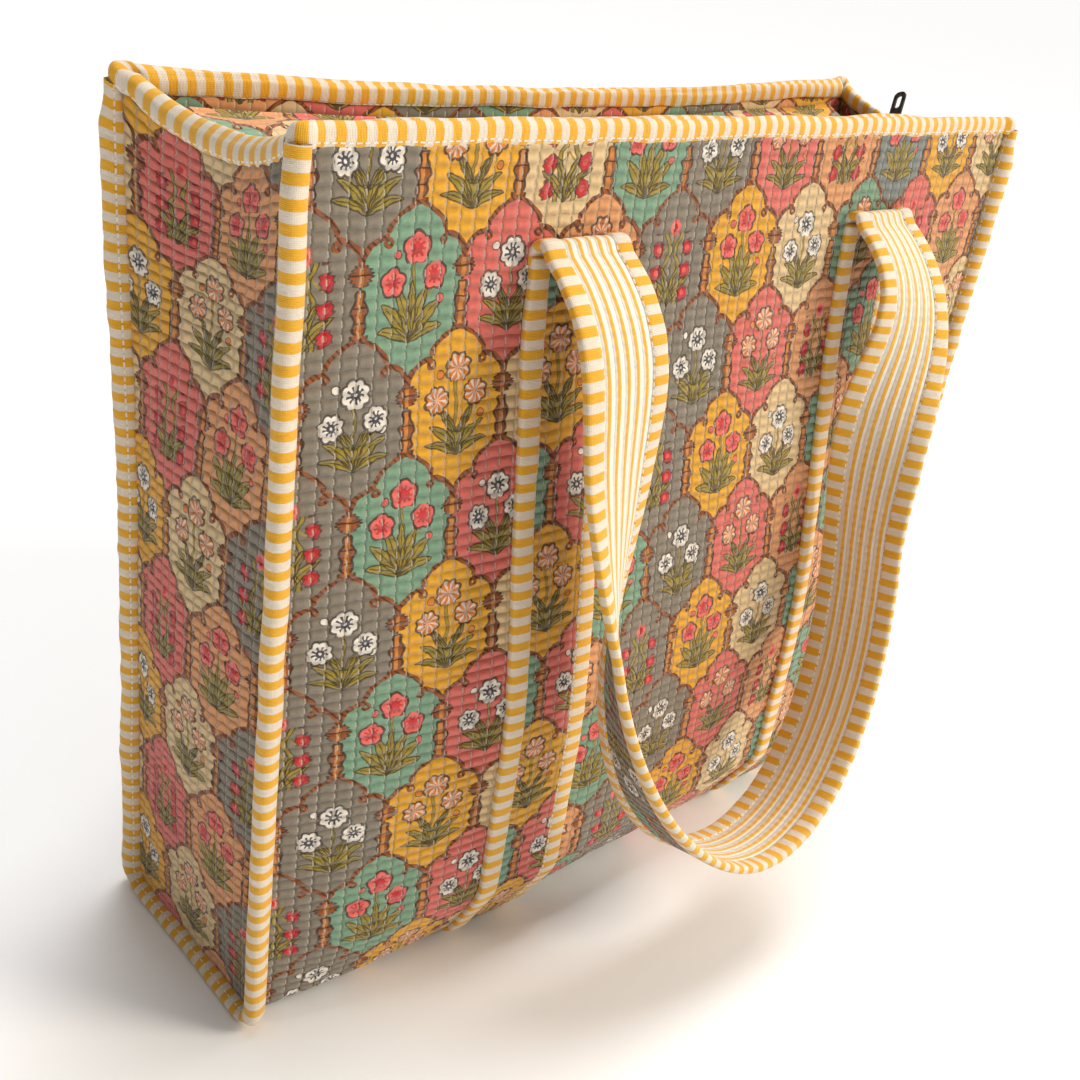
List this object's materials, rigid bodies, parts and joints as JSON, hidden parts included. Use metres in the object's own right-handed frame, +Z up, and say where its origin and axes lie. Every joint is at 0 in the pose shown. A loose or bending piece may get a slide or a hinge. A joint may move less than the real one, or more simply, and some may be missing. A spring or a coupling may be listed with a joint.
{
  "type": "knitting bag",
  "caption": "Boxed quilted cotton bag in an arch-and-flower print, bound in striped tape, with strap handles sewn round it and a zip mouth.",
  "frame": {"origin": "under the middle of the bag, on the surface it stands on", "axes": "+X to the right along the front, +Y from the front to the back, +Z up"},
  "size_m": [0.465, 0.3374, 0.4008],
  "materials": {
    "print_cloth": "printed quilted cotton, matte",
    "lining_cloth": "printed cotton, matte",
    "wadding": "soft cotton wadding",
    "striped_tape": "yellow and white striped cotton",
    "striped_backing": "white cotton with thin yellow stripes",
    "zip_tape": "woven zip tape",
    "zip_coil": "satin nylon coil",
    "zip_metal": "dark antique metal"
  },
  "bodies": {
    "bag": {"wrap_print": "print_cloth", "wrap_wadding": "wadding", "wrap_lining": "lining_cloth", "left_side_print": "print_cloth", "left_side_wadding": "wadding", "left_side_lining": "lining_cloth", "right_side_print": "print_cloth", "right_side_wadding": "wadding", "right_side_lining": "lining_cloth", "mouth_binding": "striped_tape", "left_side_binding": "striped_tape", "right_side_binding": "striped_tape", "left_run_face": "print_cloth", "left_run_backing": "striped_backing", "left_run_left_edge": "striped_tape", "left_run_right_edge": "striped_tape", "right_run_face": "print_cloth", "right_run_backing": "striped_backing", "right_run_left_edge": "striped_tape", "right_run_right_edge": "striped_tape"},
    "front_handle": {"front_handle_face": "print_cloth", "front_handle_backing": "striped_backing", "front_handle_outer_edge": "striped_tape", "front_handle_inner_edge": "striped_tape"},
    "back_handle": {"back_handle_face": "print_cloth", "back_handle_backing": "striped_backing", "back_handle_outer_edge": "striped_tape", "back_handle_inner_edge": "striped_tape"},
    "front_flap": {"front_flap_print": "print_cloth", "front_flap_lining": "lining_cloth", "front_zip_tape": "zip_tape", "front_zip_coil": "zip_coil", "front_zip_stops": "zip_metal"},
    "back_flap": {"back_flap_print": "print_cloth", "back_flap_lining": "lining_cloth", "back_zip_tape": "zip_tape", "back_zip_coil": "zip_coil", "back_zip_stops": "zip_metal"},
    "zip_slider": {"zip_slider": "zip_metal"},
    "zip_pull": {"pull_tab": "zip_metal", "pull_pin": "zip_metal"}
  },
  "joints": [
    {"name": "front_handle_swing", "type": "hinge", "parent": "bag", "child": "front_handle", "pos_m": [0, -0.0628, 0.35], "axis": [-1, 0, 0], "range_deg": [-5, 150]},
    {"name": "back_handle_swing", "type": "hinge", "parent": "bag", "child": "back_handle", "pos_m": [0, 0.0628, 0.35], "axis": [1, 0, 0], "range_deg": [-5, 150]},
    {"name": "front_flap_swing", "type": "hinge", "parent": "bag", "child": "front_flap", "pos_m": [0, -0.0498, 0.3855], "axis": [1, 0, 0], "range_deg": [-56, 20]},
    {"name": "back_flap_swing", "type": "hinge", "parent": "bag", "child": "back_flap", "pos_m": [0, 0.0498, 0.3855], "axis": [-1, 0, 0], "range_deg": [-56, 20]},
    {"name": "zip_slide", "type": "slide", "parent": "front_flap", "child": "zip_slider", "axis": [1, 0, 0], "range_m": [-0.396, 0]},
    {"name": "pull_swing", "type": "hinge", "parent": "zip_slider", "child": "zip_pull", "pos_m": [0.198, -0.00136, 0.37298], "axis": [0, -0.9397, 0.342], "range_deg": [0, 112]}
  ]
}
